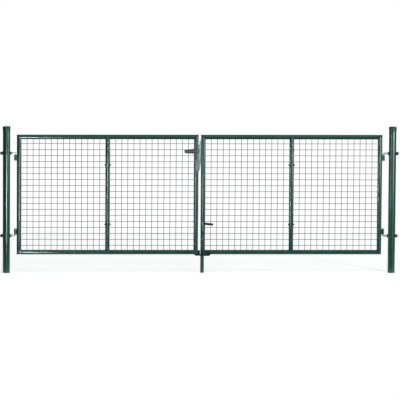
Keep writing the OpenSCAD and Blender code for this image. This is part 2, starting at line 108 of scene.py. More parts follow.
class Grain(Enum):
    """What a surface's fine relief is like, by how it was made."""

    PEEL = "sprayed powder that flowed as it was baked"
    SPANGLE = "zinc crystals from an electroplating bath"
    BRUSHED = "straight hairlines from a grinding belt"
    PEBBLE = "the spark-eroded wall of a mould"
    CAST = "the skin of a pressure die casting"


@dataclass(frozen=True)
class Finish:
    """A real material with how its surface was made.

    Colours run from dark to light over the drift pattern, fleck is the colour of the
    marks that handling and the process leave, and sizes are in millimetres.
    """

    name: str
    slot: str
    grain: Grain
    dark: str
    light: str
    fleck: str
    drift_mm: float
    grain_mm: float
    relief_mm: float
    rough: tuple[float, float]
    fleck_share: float = 0.36
    metallic: float = 0.0
    ior: float = 1.5
    specular: float = 0.5
    brush: Point = (1.0, 1.0, 1.0)

    def material(self) -> bpy.types.Material:
        """Returns the finish's material, made at its first use."""
        made = bpy.data.materials.get(self.name)
        return made if made else self._make()

    def _make(self) -> bpy.types.Material:
        """Builds the node tree.

        Returns:
            The new material.
        """
        material = bpy.data.materials.new(self.name)
        material.use_nodes = True
        tree = material.node_tree
        tree.nodes.clear()
        place = add(tree, "TexCoord").outputs["Object"]
        drift = add(tree, "TexNoise", {"Scale": per(self.drift_mm), "Detail": 4.0,
                                       "Roughness": 0.6}, {"Vector": place})
        tint = add(tree, "ValToRGB", None, {"Fac": drift.outputs["Fac"]})
        ramp = tint.color_ramp.elements
        for stop, position, colour in zip(ramp, (0.3, 0.7), (self.dark, self.light)):
            stop.position, stop.color = position, linear(colour)
        height = self._relief(tree, place)
        marks = add(tree, "TexNoise", {"Scale": per(self.drift_mm / 6), "Detail": 6.0,
                                       "Roughness": 0.75}, {"Vector": place})
        spots = add(tree, "MapRange", {"From Min": 0.56, "From Max": 0.72,
                                       "To Max": self.fleck_share},
                    {"Value": marks.outputs["Fac"]}).outputs["Result"]
        paint = add(tree, "Mix", {"data_type": "RGBA", 7: linear(self.fleck)},
                    {0: spots, 6: tint.outputs["Color"]})
        worn = add(tree, "Math", {"operation": "ADD"}, {0: height, 1: spots})
        rough = add(tree, "MapRange", {"From Min": 0.2, "From Max": 1.1,
                                       "To Min": self.rough[0], "To Max": self.rough[1]},
                    {"Value": worn.outputs["Value"]})
        bump = add(tree, "Bump", {"Strength": 0.6, "Distance": self.relief_mm * MM},
                   {"Height": height})
        shader = add(
            tree, "BsdfPrincipled",
            {"Metallic": self.metallic, "IOR": self.ior, "Specular IOR Level": self.specular},
            {"Base Color": paint.outputs[2], "Roughness": rough.outputs["Result"],
             "Normal": bump.outputs["Normal"]})
        add(tree, "OutputMaterial", None, {"Surface": shader.outputs["BSDF"]})
        return material

    def _relief(self, tree: bpy.types.NodeTree,
                place: bpy.types.NodeSocket) -> bpy.types.NodeSocket:
        """Adds the fine relief of this grain.

        Args:
            tree: the material's node tree.
            place: the position on the piece.

        Returns:
            The socket that gives the relief's height, about 0 to 1.
        """
        if self.grain in (Grain.SPANGLE, Grain.PEBBLE):
            cells = add(tree, "TexVoronoi", {"Scale": per(self.grain_mm), "Randomness": 1.0},
                        {"Vector": place})
            if self.grain is Grain.PEBBLE:
                return cells.outputs["Distance"]
            return add(tree, "RGBToBW", None, {"Color": cells.outputs["Color"]}).outputs["Val"]
        if self.grain is Grain.BRUSHED:
            place = add(tree, "Mapping", {"Scale": self.brush},
                        {"Vector": place}).outputs["Vector"]
        detail, roughness = (5.0, 0.65) if self.grain is Grain.CAST else (2.0, 0.45)
        return add(tree, "TexNoise", {"Scale": per(self.grain_mm), "Detail": detail,
                                      "Roughness": roughness}, {"Vector": place}).outputs["Fac"]


# Polyester powder coat baked on steel tube: a closed, half-gloss moss green with a
# soft orange-peel skin of about 2 mm, drawn at 4 mm so that it shows.
POWDER = Finish("moss_powder_coat", "green_coat", Grain.PEEL, "#0e4035", "#164f43", "#1f6153",
                drift_mm=160, grain_mm=4, relief_mm=0.06, rough=(0.15, 0.28))
# The same powder where it lies thick over weld beads: smoother and a shade darker.
WELD = Finish("powder_over_weld", "green_coat", Grain.PEEL, "#0c382f", "#13483d", "#1c5a4d",
              drift_mm=12, grain_mm=2, relief_mm=0.12, rough=(0.22, 0.38))
# Drawn steel wire, galvanised and then dipped with the panel: a duller green grey with
# the zinc showing through at the crossings.
WIRE = Finish("coated_drawn_wire", "wire", Grain.PEEL, "#152a25", "#1e3832", "#36504a",
              drift_mm=60, grain_mm=3, relief_mm=0.06, rough=(0.36, 0.52), specular=0.2)
# Injection-moulded polyethylene cap: a dark green a shade off the coat, waxy, with the
# mould's fine grain of about 0.5 mm drawn at 1.5 mm.
CAP = Finish("moulded_polyethylene", "cap_plastic", Grain.PEBBLE, "#15463b", "#1c5347", "#286355",
             drift_mm=40, grain_mm=1.5, relief_mm=0.05, rough=(0.32, 0.46), ior=1.51, specular=0.3)
# Electro-zinc plated steel: pale blue-grey metal whose crystals and dull spots break up
# the shine.
ZINC = Finish("bright_zinc_plate", "zinc", Grain.SPANGLE, "#a4a9aa", "#c6cac9", "#8d9190",
              drift_mm=30, grain_mm=2.5, relief_mm=0.03, rough=(0.26, 0.46), metallic=1.0)
# Black-passivated steel fasteners: satin black with a hint of green from the coat's dust.
FASTENER = Finish("black_passivated_steel", "dark_steel", Grain.CAST,
                  "#1c2422", "#2b3532", "#46524e",
                  drift_mm=14, grain_mm=1.2, relief_mm=0.05, rough=(0.34, 0.55), metallic=0.6)
# Glass-filled nylon: matt black with a pebbled skin, a little shinier where hands rub it.
NYLON = Finish("black_moulded_nylon", "black_plastic", Grain.PEBBLE,
               "#0e1011", "#17191a", "#2a2d2e",
               drift_mm=25, grain_mm=1.2, relief_mm=0.06, rough=(0.42, 0.60), ior=1.53)
# Die-cast aluminium lever, tumbled and lacquered: warm mid grey with a soft cast skin.
CASTING = Finish("tumbled_cast_aluminium", "lever_metal", Grain.CAST,
                 "#6f6c6c", "#8d8a8a", "#565353",
                 drift_mm=22, grain_mm=1.6, relief_mm=0.06, rough=(0.24, 0.38), metallic=1.0)
# Brass cylinder, turned and then satin nickelled: a pale warm grey with fine hairlines and
# the brass yellow only where the plating has worn.
BRASS = Finish("nickelled_brass", "brass", Grain.BRUSHED, "#a5a49e", "#c2c1ba", "#a3926a",
               drift_mm=10, grain_mm=2, relief_mm=0.03, rough=(0.24, 0.42), metallic=1.0,
               brush=(1.0, 6.0, 1.0))
# Satin stainless plate over the lock: mid grey with fine upright hairlines, darker than
# the zinc beside it.
SATIN = Finish("satin_stainless_plate", "zinc", Grain.BRUSHED, "#858c8c", "#a0a7a7", "#6a7070",
               drift_mm=20, grain_mm=3, relief_mm=0.04, rough=(0.28, 0.44), metallic=0.9,
               brush=(6.0, 6.0, 1.0))
# Stamped steel key, nickel plated and carried for years: dull mid grey, darker where worn.
KEY = Finish("worn_nickel_key", "zinc", Grain.CAST, "#565b5c", "#707677", "#3f4344",
             drift_mm=9, grain_mm=1.2, relief_mm=0.04, rough=(0.34, 0.52), metallic=1.0)
# Stop plate in a near-black green that is painted shade: it stands for the shadow the plate lies
# in, under and behind the leaves. Softly shiny in its folds.
STOP_PAINTED_SHADE = Finish("stop_plate_painted_shade", "green_coat", Grain.PEEL, "#071a15", "#0c251e", "#1a382f",
              drift_mm=30, grain_mm=3, relief_mm=0.10, rough=(0.30, 0.48), specular=0.3)
# Cold-rolled steel strip, zinc plated over its grinding lines, for the keeper and forend.
STRIP = Finish("ground_zinc_strip", "zinc", Grain.BRUSHED, "#d6dfe2", "#eaf2f4", "#b3bbbe",
               drift_mm=35, grain_mm=4, relief_mm=0.03, rough=(0.32, 0.50), metallic=0.5,
               brush=(6.0, 6.0, 1.0))


# ---------------------------------------------------------------- hand tools


@dataclass(frozen=True)
class Box:
    """A CAD node's box in millimetres."""

    low: Vector
    high: Vector

    @classmethod
    def of(cls, node: str) -> "Box":
        """Returns the box of the named CAD node."""
        low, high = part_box(node)
        return cls(low / MM, high / MM)

    @property
    def mid(self) -> Vector:
        """The box's middle."""
        return (self.low + self.high) / 2

    @property
    def size(self) -> Vector:
        """The box's size along each axis."""
        return self.high - self.low


class Bench:
    """Hand tools for modelling; each leaves one object with its place in its mesh."""

    @staticmethod
    def clear() -> None:
        """Leaves edit mode and deselects everything."""
        if bpy.context.mode != "OBJECT":
            bpy.ops.object.mode_set(mode="OBJECT")
        bpy.ops.object.select_all(action="DESELECT")

    @classmethod
    def take(cls, thing: Thing) -> Thing:
        """Selects one object alone and makes it active.

        Args:
            thing: the object to select.

        Returns:
            The same object.
        """
        cls.clear()
        thing.select_set(True)
        bpy.context.view_layer.objects.active = thing
        return thing

    @classmethod
    @contextmanager
    def editing(cls, thing: Thing, action: str = "SELECT") -> Iterator[None]:
        """Opens an object's mesh for editing and closes it afterwards.

        Args:
            thing: the object to edit.
            action: what to do with the selection first, or "" to leave it.

        Yields:
            Nothing; the mesh is open meanwhile.
        """
        cls.take(thing)
        bpy.ops.object.mode_set(mode="EDIT")
        if action:
            bpy.ops.mesh.select_all(action=action)
        yield
        bpy.ops.object.mode_set(mode="OBJECT")

    @classmethod
    def settle(cls, thing: Thing, recalculate: bool = True) -> Thing:
        """Applies an object's place, turn and scale to its mesh.

        Args:
            thing: the object to settle.
            recalculate: whether its faces are turned outwards again.

        Returns:
            The same object.
        """
        cls.take(thing)
        bpy.ops.object.transform_apply(location=True, rotation=True, scale=True)
        if recalculate:
            with cls.editing(thing):
                bpy.ops.mesh.remove_doubles(threshold=0.005 * MM)
                bpy.ops.mesh.normals_make_consistent(inside=False)
        return thing

    @classmethod
    def modify(cls, thing: Thing, kind: str, **settings: object) -> Thing:
        """Adds a modifier and applies it.

        Args:
            thing: the object to change.
            kind: the modifier's type.
            **settings: the modifier's values.

        Returns:
            The same object.
        """
        cls.take(thing)
        bpy.ops.object.modifier_add(type=kind)
        modifier = thing.modifiers[-1]
        for key, value in settings.items():
            setattr(modifier, key, value)
        bpy.ops.object.modifier_apply(modifier=modifier.name)
        return thing

    @classmethod
    def ease(cls, thing: Thing, width: float, segments: int = 2, angle: float = 35) -> Thing:
        """Rounds an object's sharp edges.

        Args:
            thing: the object to round.
            width: the rounding's width in millimetres.
            segments: how many faces it takes.
            angle: edges sharper than this many degrees are rounded.

        Returns:
            The same object.
        """
        return cls.modify(thing, "BEVEL", width=width * MM, segments=segments,
                          limit_method="ANGLE", angle_limit=math.radians(angle))

    @classmethod
    def turned(cls, start: Point, axis: Point, profile: Sequence[tuple[float, float]],
               sides: int = 48) -> Thing:
        """Makes a turned piece by extruding and scaling a disc along its axis.

        Args:
            start: where the profile's distances are measured from, in millimetres.
            axis: the direction of the axis.
            profile: pairs of distance along the axis and radius, in millimetres. It may
                double back, which makes a hollow.
            sides: how many sides the circle has.

        Returns:
            The new object.
        """
        cls.clear()
        (reach, radius), rest = profile[0], profile[1:]
        bpy.ops.mesh.primitive_circle_add(vertices=sides, radius=radius * MM, fill_type="NGON",
                                          location=(0, 0, reach * MM))
        thing = bpy.context.object
        with cls.editing(thing):
            for far, wide in rest:
                step = (0, 0, (far - reach) * MM)
                bpy.ops.mesh.extrude_region_move(TRANSFORM_OT_translate={"value": step})
                if wide != radius:
                    share = wide / radius
                    bpy.ops.transform.resize(value=(share, share, 1),
                                             center_override=(0, 0, far * MM))
                reach, radius = far, wide
        thing.rotation_euler = Vector(axis).to_track_quat("Z", "Y").to_euler()
        thing.location = (Vector(start) + Vector(axis).normalized() * profile[0][0]) * MM
        return cls.settle(thing)

    @classmethod
    def bar(cls, start: Point, end: Point, radius: float, edge: float = 0.4,
            sides: int = 32) -> Thing:
        """Makes a round bar with eased ends.

        Args:
            start: the middle of one end in millimetres.
            end: the middle of the other end.
            radius: its radius.
            edge: the chamfer at each end.
            sides: how many sides it has.

        Returns:
            The new object.
        """
        axis = Vector(end) - Vector(start)
        length = axis.length
        profile = [(0, radius - edge), (edge, radius), (length - edge, radius),
                   (length, radius - edge)]
        return cls.turned(start, tuple(axis), profile, sides)

    @classmethod
    def block(cls, low: Point, high: Point, edge: float = 0.0) -> Thing:
        """Makes a box from corner to corner with eased edges.

        Args:
            low: the lowest corner in millimetres.
            high: the highest corner.
            edge: the rounding of its edges, or 0 for none.

        Returns:
            The new object.
        """
        cls.clear()
        low_v, high_v = Vector(low) * MM, Vector(high) * MM
        bpy.ops.mesh.primitive_cube_add(size=1, location=(low_v + high_v) / 2)
        thing = bpy.context.object
        thing.scale = high_v - low_v
        cls.settle(thing)
        return cls.ease(thing, edge) if edge else thing

    @classmethod
    def cut(cls, thing: Thing, tool: Thing, how: str = "DIFFERENCE") -> Thing:
        """Cuts one object with another, which is used up.

        Args:
            thing: the object to cut.
            tool: the object that cuts it.
            how: the boolean's operation.

        Returns:
            The cut object.
        """
        cls.modify(thing, "BOOLEAN", object=tool, operation=how, solver="EXACT")
        bpy.data.objects.remove(tool)
        return thing

    @classmethod
    def copy(cls, thing: Thing, move: Point = (0, 0, 0), turn: float = 0.0, axis: str = "Z",
             mirror: bool = False) -> Thing:
        """Copies an object with a mesh of its own and puts the copy elsewhere.

        Args:
            thing: the object to copy.
            move: how far the copy moves, in millimetres, after its turn.
            turn: how far it turns about the origin, in degrees.
            axis: the axis that it turns about.
            mirror: whether it is mirrored along X.

        Returns:
            The copy.
        """
        twin = thing.copy()
        twin.data = thing.data.copy()
        bpy.context.scene.collection.objects.link(twin)
        spun = Matrix.Rotation(math.radians(turn), 4, axis)
        scale = Matrix.Diagonal((-1 if mirror else 1, 1, 1, 1))
        twin.data.transform(Matrix.Translation(Vector(move) * MM) @ spun @ scale)
        return cls.settle(twin) if mirror else twin

    @classmethod
    def spread(cls, thing: Thing, moves: Iterable[Point], turn: float = 0.0,
               axis: str = "Z") -> list[Thing]:
        """Copies an object to several places.

        Args:
            thing: the object to copy.
            moves: how far each copy moves, in millimetres.
            turn: how far each turns about the origin, in degrees.
            axis: the axis that they turn about.

        Returns:
            The copies.
        """
        return [cls.copy(thing, move, turn, axis) for move in moves]

    @staticmethod
    def discard(*things: Thing) -> None:
        """Removes patterns that have been copied."""
        for thing in things:
            bpy.data.objects.remove(thing)

    @classmethod
    def join(cls, things: Iterable[Thing]) -> Thing:
        """Joins several objects into the first.

        Args:
            things: the objects.

        Returns:
            The joined object.
        """
        parts = list(things)
        cls.clear()
        for part in parts:
            part.select_set(True)
        bpy.context.view_layer.objects.active = parts[0]
        if len(parts) > 1:
            bpy.ops.object.join()
        return parts[0]

    @classmethod
    def smooth(cls, thing: Thing, angle: float = 35) -> Thing:
        """Shades an object smooth where its faces meet at less than an angle.

        Args:
            thing: the object.
            angle: the angle in degrees.

        Returns:
            The same object.
        """
        cls.take(thing)
        bpy.ops.object.shade_smooth_by_angle(angle=math.radians(angle))
        return thing

    @classmethod
    def refined(cls, node: str, edge: float, segments: int = 2) -> Thing:
        """Copies a CAD node's mesh, merges it and eases its edges.

        Args:
            node: the CAD node's name.
            edge: the rounding's width in millimetres.
            segments: how many faces the rounding takes.

        Returns:
            The new object.
        """
        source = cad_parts[node]
        thing = bpy.data.objects.new(node + "_body", source.data.copy())
        bpy.context.scene.collection.objects.link(thing)
        thing.data.materials.clear()
        cls.take(thing)
        bpy.ops.mesh.customdata_custom_splitnormals_clear()
        with cls.editing(thing):
            bpy.ops.mesh.remove_doubles(threshold=0.002 * MM)
            bpy.ops.mesh.dissolve_limited(angle_limit=math.radians(1))
        return cls.ease(thing, edge, segments, 50)


def fit(thing: Thing, name: str, body: str, finish: Finish, nodes: Sequence[str] = (),
        smooth: float = 35) -> Thing:
    """Names a finished piece, paints it and hangs it on its CAD body.

    Args:
        thing: the piece.
        name: its name.
        body: the body that it moves with.
        finish: what it is made of.
        nodes: the CAD nodes that it stands for.
        smooth: the angle in degrees under which its faces blend.

    Returns:
        The same piece.
    """
    Bench.smooth(thing, smooth)
    thing.name = thing.data.name = name
    thing.data.materials.clear()
    thing.data.materials.append(finish.material())
    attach(thing, body)
    if nodes:
        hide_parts(*nodes)
    LOG.info("%s: %d faces on %s", name, len(thing.data.polygons), body)
    return thing


def paint(node: str, finish: Finish) -> None:
    """Gives a CAD node that keeps its shape a finish.

    Args:
        node: the CAD node's name.
        finish: what it is made of.
    """
    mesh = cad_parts[node].data
    mesh.materials.clear()
    mesh.materials.append(finish.material())
    LOG.info("%s keeps its shape, in %s", node, finish.name)


# ---------------------------------------------------------------- fixings


@dataclass
class Hexagon:
    """A hexagon nut or bolt head along X with the corners turned off.

    Sizes are in millimetres: across is the width over the flats.
    """

    across: float
    depth: float
    bore: float = 0.0

    def build(self, face: Point) -> Thing:
        """Makes the hexagon with its low face at a point.

        Args:
            face: the middle of its low face.

        Returns:
            The new object.
        """
        Bench.clear()
        corner = self.across / 2 / math.cos(math.pi / 6)
        bpy.ops.mesh.primitive_cylinder_add(vertices=6, radius=corner * MM, depth=self.depth * MM,
                                            rotation=(0, math.pi / 2, 0))
        thing = bpy.context.object
        thing.location = (Vector(face) + Vector((self.depth / 2, 0, 0))) * MM
        Bench.settle(thing)
        crown = corner - self.across / 2
        turned = Bench.turned(face, (1, 0, 0), [
            (0, self.across / 2 - 0.2), (crown * 0.5, corner - 0.1),
            (self.depth - crown * 0.5, corner - 0.1), (self.depth, self.across / 2 - 0.2)])
        Bench.cut(thing, turned, "INTERSECT")
        if self.bore:
            hole = Bench.turned(face, (1, 0, 0), [
                (-1, self.bore + 1.4), (0.7, self.bore), (self.depth - 0.7, self.bore),
                (self.depth + 1, self.bore + 1.4)])
            Bench.cut(thing, hole)
        return Bench.ease(thing, 0.25, 1, 30)


@dataclass
class Thread:
    """A helical thread ridge along X, sizes in millimetres."""

    radius: float
    pitch: float
    length: float
    steps: int = 20

    def build(self, start: Point) -> Thing:
        """Winds the ridge from a point towards +X.

        Args:
            start: the middle of the thread's first turn.

        Returns:
            The new object.
        """
        Bench.clear()
        height = self.pitch * 0.5
        bpy.ops.mesh.primitive_circle_add(vertices=3, radius=height * MM, fill_type="NOTHING",
                                          location=((self.radius - height) * MM, 0, 0),
                                          rotation=(math.pi / 2, math.pi / 2, 0))
        thing = Bench.settle(bpy.context.object, False)
        Bench.modify(thing, "SCREW", axis="Z", angle=math.tau, screw_offset=self.pitch * MM,
                     iterations=int(self.length / self.pitch), steps=self.steps,
                     render_steps=self.steps, use_merge_vertices=False)
        with Bench.editing(thing):
            bpy.ops.mesh.fill_holes(sides=4)
        thing.rotation_euler = (0, math.pi / 2, 0)
        thing.location = Vector(start) * MM
        return Bench.settle(thing)


@dataclass
class Weld:
    """A rippled weld bead, sizes in millimetres."""

    thick: float = 1.9
    ripple: float = 0.45
    step: float = 3.2

    def _ripple(self, thing: Thing, place: Sequence[float]) -> None:
        """Swells every other ring of a bead.

        Args:
            thing: the bead.
            place: how far along the bead each vertex lies, in millimetres.
        """
        with Bench.editing(thing, "DESELECT"):
            pass
        for vertex, along in zip(thing.data.vertices, place):
            vertex.select = math.sin(along / self.step * math.tau) > 0
        with Bench.editing(thing, ""):
            bpy.ops.transform.shrink_fatten(value=self.ripple * MM)

    def ring(self, radius: float, stretch: float = 1.0, sides: int = 72) -> Thing:
        """Makes a closed bead in the XY plane about the origin.

        Args:
            radius: the bead's radius.
            stretch: how many times longer it is along X than along Y.
            sides: how many rings it has.

        Returns:
            The new object.
        """
        Bench.clear()
        bpy.ops.mesh.primitive_torus_add(major_radius=radius * MM, minor_radius=self.thick * MM,
                                         major_segments=sides, minor_segments=8)
        thing = bpy.context.object
        self._ripple(thing, [
            math.atan2(v.co.y, v.co.x) * radius for v in thing.data.vertices])
        thing.scale = (stretch, 1, 1)
        return Bench.settle(thing)

    def line(self, start: Point, end: Point) -> Thing:
        """Makes a straight bead between two points.

        Args:
            start: one end.
            end: the other end.

        Returns:
            The new object.
        """
        axis = Vector(end) - Vector(start)
        count = max(4, round(axis.length / self.step * 2))
        profile = [(0, self.thick * 0.4)]
        for i in range(count + 1):
            swell = self.ripple if i % 2 else 0.0
            profile.append((0.4 + (axis.length - 0.8) * i / count, self.thick + swell))
        profile.append((axis.length, self.thick * 0.4))
        return Bench.turned(start, tuple(axis), profile, 10)


# ---------------------------------------------------------------- the gate


class Side(Enum):
    """Which side of the gateway a leaf hangs on."""

    LEFT = "left"
    RIGHT = "right"

    @property
    def body(self) -> str:
        """The CAD body of this side's leaf."""
        return self.value + "_leaf"

    @property
    def out(self) -> int:
        """The direction along X from the leaf to its post."""
        return -1 if self is Side.LEFT else 1


@dataclass
class Posts:
    """The two posts with their moulded caps, sizes in millimetres."""

    lip: float = 1.6
    crown: float = 1.2
    shoulder: float = 5.0

    def build(self) -> None:
        """Paints the posts and moulds a cap for each."""
        for side in Side:
            post = side.value + "_post"
            paint(post, POWDER)
            self.cap(post, post + "_cap")
        paint("ground_socket", POWDER)

    def cap(self, post: str, node: str) -> Thing:
        """Moulds one cap as a cup with a rounded shoulder and a rolled lip.

        Args:
            post: the post that it sits on.
            node: the CAD node that it stands for.

        Returns:
            The cap.
        """
        box, tube = Box.of(node), Box.of(post)
        bore = tube.size.x / 2 + 0.1
        foot = tube.size.x / 2 + 1
        tall = box.size.z
        wide = box.size.x / 2
        roof = tube.high.z - box.low.z
        profile = [(roof, bore), (0.6, bore), (0, bore + 0.3), (0, foot - 0.2), (0.3, foot),
                   (self.lip + 0.6, foot + 0.35), (self.lip + 1.4, foot + 0.05)]
        profile += [(2 + (tall - 7) * i / 6, foot + (wide - foot) * i / 6) for i in range(1, 7)]
        for i in range(1, 8):
            turn = math.radians(90 * i / 7)
            profile.append((tall - self.shoulder + (self.shoulder - self.crown) * math.sin(turn),
                            wide - (self.shoulder + 3) * (1 - math.cos(turn))))
        profile += [(tall - 0.5, (wide - 8) * 0.6), (tall, (wide - 8) * 0.2)]
        cap = Bench.turned((box.mid.x, 0, box.low.z), (0, 0, 1), profile, 64)
        return fit(cap, node + "_moulding", "posts", CAP, [node])


@dataclass
class HookBolts:
    """The four hinge hooks with their nuts and saddle washers, sizes in millimetres."""

    radius: float = 8.0
    bend: float = 12.0
    pitch: float = 2.0
    nut_across: float = 24.0
    washer_r: float = 14.0
    washer_face: float = 32.0
    thin_nut: float = 6.0
    thread_share: float = 0.74

    def build(self) -> None:
        """Forges the hooks and fits their fixings on both posts."""
        for row in ("outer", "inner"):
            node = row + "_hook_nuts"
            fit(self._nuts(node), row + "_nuts", "posts", FASTENER, [node])
        fit(self._washers(), "shaped_washers", "posts", FASTENER, ["saddle_washers"])
        for side in Side:
            for level in ("upper", "lower"):
                node = f"{level}_{side.value}_hook"
                fit(self.hook(node, side, level == "lower"), node + "_bolt", "posts", ZINC, [node])

    def _shanks(self) -> list[tuple[float, float]]:
        """Returns the X of each post and the height of each shank through it."""
        low = Box.of("lower_left_hook").low.z + self.radius
        high = Box.of("upper_left_hook").high.z - self.radius
        return [(Box.of(side.value + "_post").mid.x, z) for side in Side for z in (low, high)]

    def _nuts(self, node: str) -> Thing:
        """Makes one nut and copies it to all four shanks.

        Args:
            node: the CAD node that holds the four nuts.

        Returns:
            The four nuts as one piece.
        """
        box = Box.of(node)
        middle = (Box.of("left_post").mid.x + Box.of("right_post").mid.x) / 2
        outward = box.low.x < 0
        depth = -box.low.x - self.washer_face if outward else self.thin_nut
        start = box.low.x if outward else self.washer_face
        one = Hexagon(self.nut_across, depth, self.radius - 0.5).build((start, 0, 0))
        made = [Bench.copy(one, (x, 0, z), mirror=x > middle) for x, z in self._shanks()]
        Bench.discard(one)
        return Bench.join(made)

    def _washers(self) -> Thing:
        """Makes one washer hollowed to its post and copies it to both sides of each hole.

        Returns:
            The eight washers as one piece.
        """
        post_r = Box.of("left_post").size.x / 2
        one = Bench.turned((0, 0, 0), (1, 0, 0), [
            (post_r * 0.6, self.washer_r), (post_r + 1.5, self.washer_r),
            (post_r + 2, self.washer_r - 0.5)], 40)
        Bench.cut(one, Bench.bar((0, 0, -40), (0, 0, 40), post_r + 0.02, 0.1, 96))
        Bench.cut(one, Bench.bar((0, 0, 0), (60, 0, 0), self.radius + 0.1, 0.1, 40))
        made = [Bench.copy(one, (x, 0, z), turn) for x, z in self._shanks() for turn in (0, 180)]
        Bench.discard(one)
        return Bench.join(made)

    def hook(self, node: str, side: Side, pin_up: bool) -> Thing:
        """Bends one hook bolt from bar and threads its shank.

        Args:
            node: the CAD node that it stands for.
            side: the side that it hangs a leaf on.
            pin_up: whether its pin points up.

        Returns:
            The hook bolt.
        """
        box = Box.of(node)
        shank_z = box.low.z + self.radius if pin_up else box.high.z - self.radius
        pin_l = box.size.z - self.radius
        tail = box.low.x if side is Side.LEFT else box.high.x
        axis_x = box.high.x - self.radius if side is Side.LEFT else box.low.x + self.radius
        reach = abs(axis_x - tail) - self.bend
        threaded = reach * self.thread_share
        Bench.clear()
        bpy.ops.mesh.primitive_circle_add(vertices=32, radius=(self.radius - 1.2) * MM,
                                          fill_type="NGON", rotation=(0, math.pi / 2, 0))
        bar = Bench.settle(bpy.context.object, False)
        centre = (reach * MM, 0, self.bend * MM)
        pivot = ((reach + self.bend) * MM, 0, 0)
        with Bench.editing(bar):
            for run, radius in ((1.0, self.radius - 0.7), (threaded - 2.0, self.radius - 0.7),
                                (1.0, self.radius), (reach - threaded, self.radius)):
                bpy.ops.mesh.extrude_region_move(
                    TRANSFORM_OT_translate={"value": (run * MM, 0, 0)})
                self._swell(bar, radius)
            bpy.ops.mesh.spin(steps=10, angle=math.pi / 2, center=centre, axis=(0, 1, 0))
            for run, share in ((pin_l - self.bend - 1.5, 1.0), (1.5, 0.82)):
                bpy.ops.mesh.extrude_region_move(
                    TRANSFORM_OT_translate={"value": (0, 0, run * MM)})
                bpy.ops.transform.resize(value=(share, share, 1), center_override=pivot)
        Bench.settle(bar)
        ridge = Thread(self.radius, self.pitch, threaded - 4).build((1.6, 0, 0))
        bar = Bench.join([bar, ridge])
        bar.scale = (-side.out, 1, 1 if pin_up else -1)
        bar.location = Vector((tail, 0, shank_z)) * MM
        return Bench.settle(bar)

    @staticmethod
    def _swell(bar: Thing, radius: float) -> None:
        """Scales the end ring that is selected to a radius in millimetres."""
        bpy.ops.object.mode_set(mode="OBJECT")
        ring = [v.co for v in bar.data.vertices if v.select]
        now = max(math.hypot(p.y, p.z) for p in ring)
        bpy.ops.object.mode_set(mode="EDIT")
        share = radius * MM / now
        bpy.ops.transform.resize(value=(1, share, share), center_override=(ring[0].x, 0, 0))


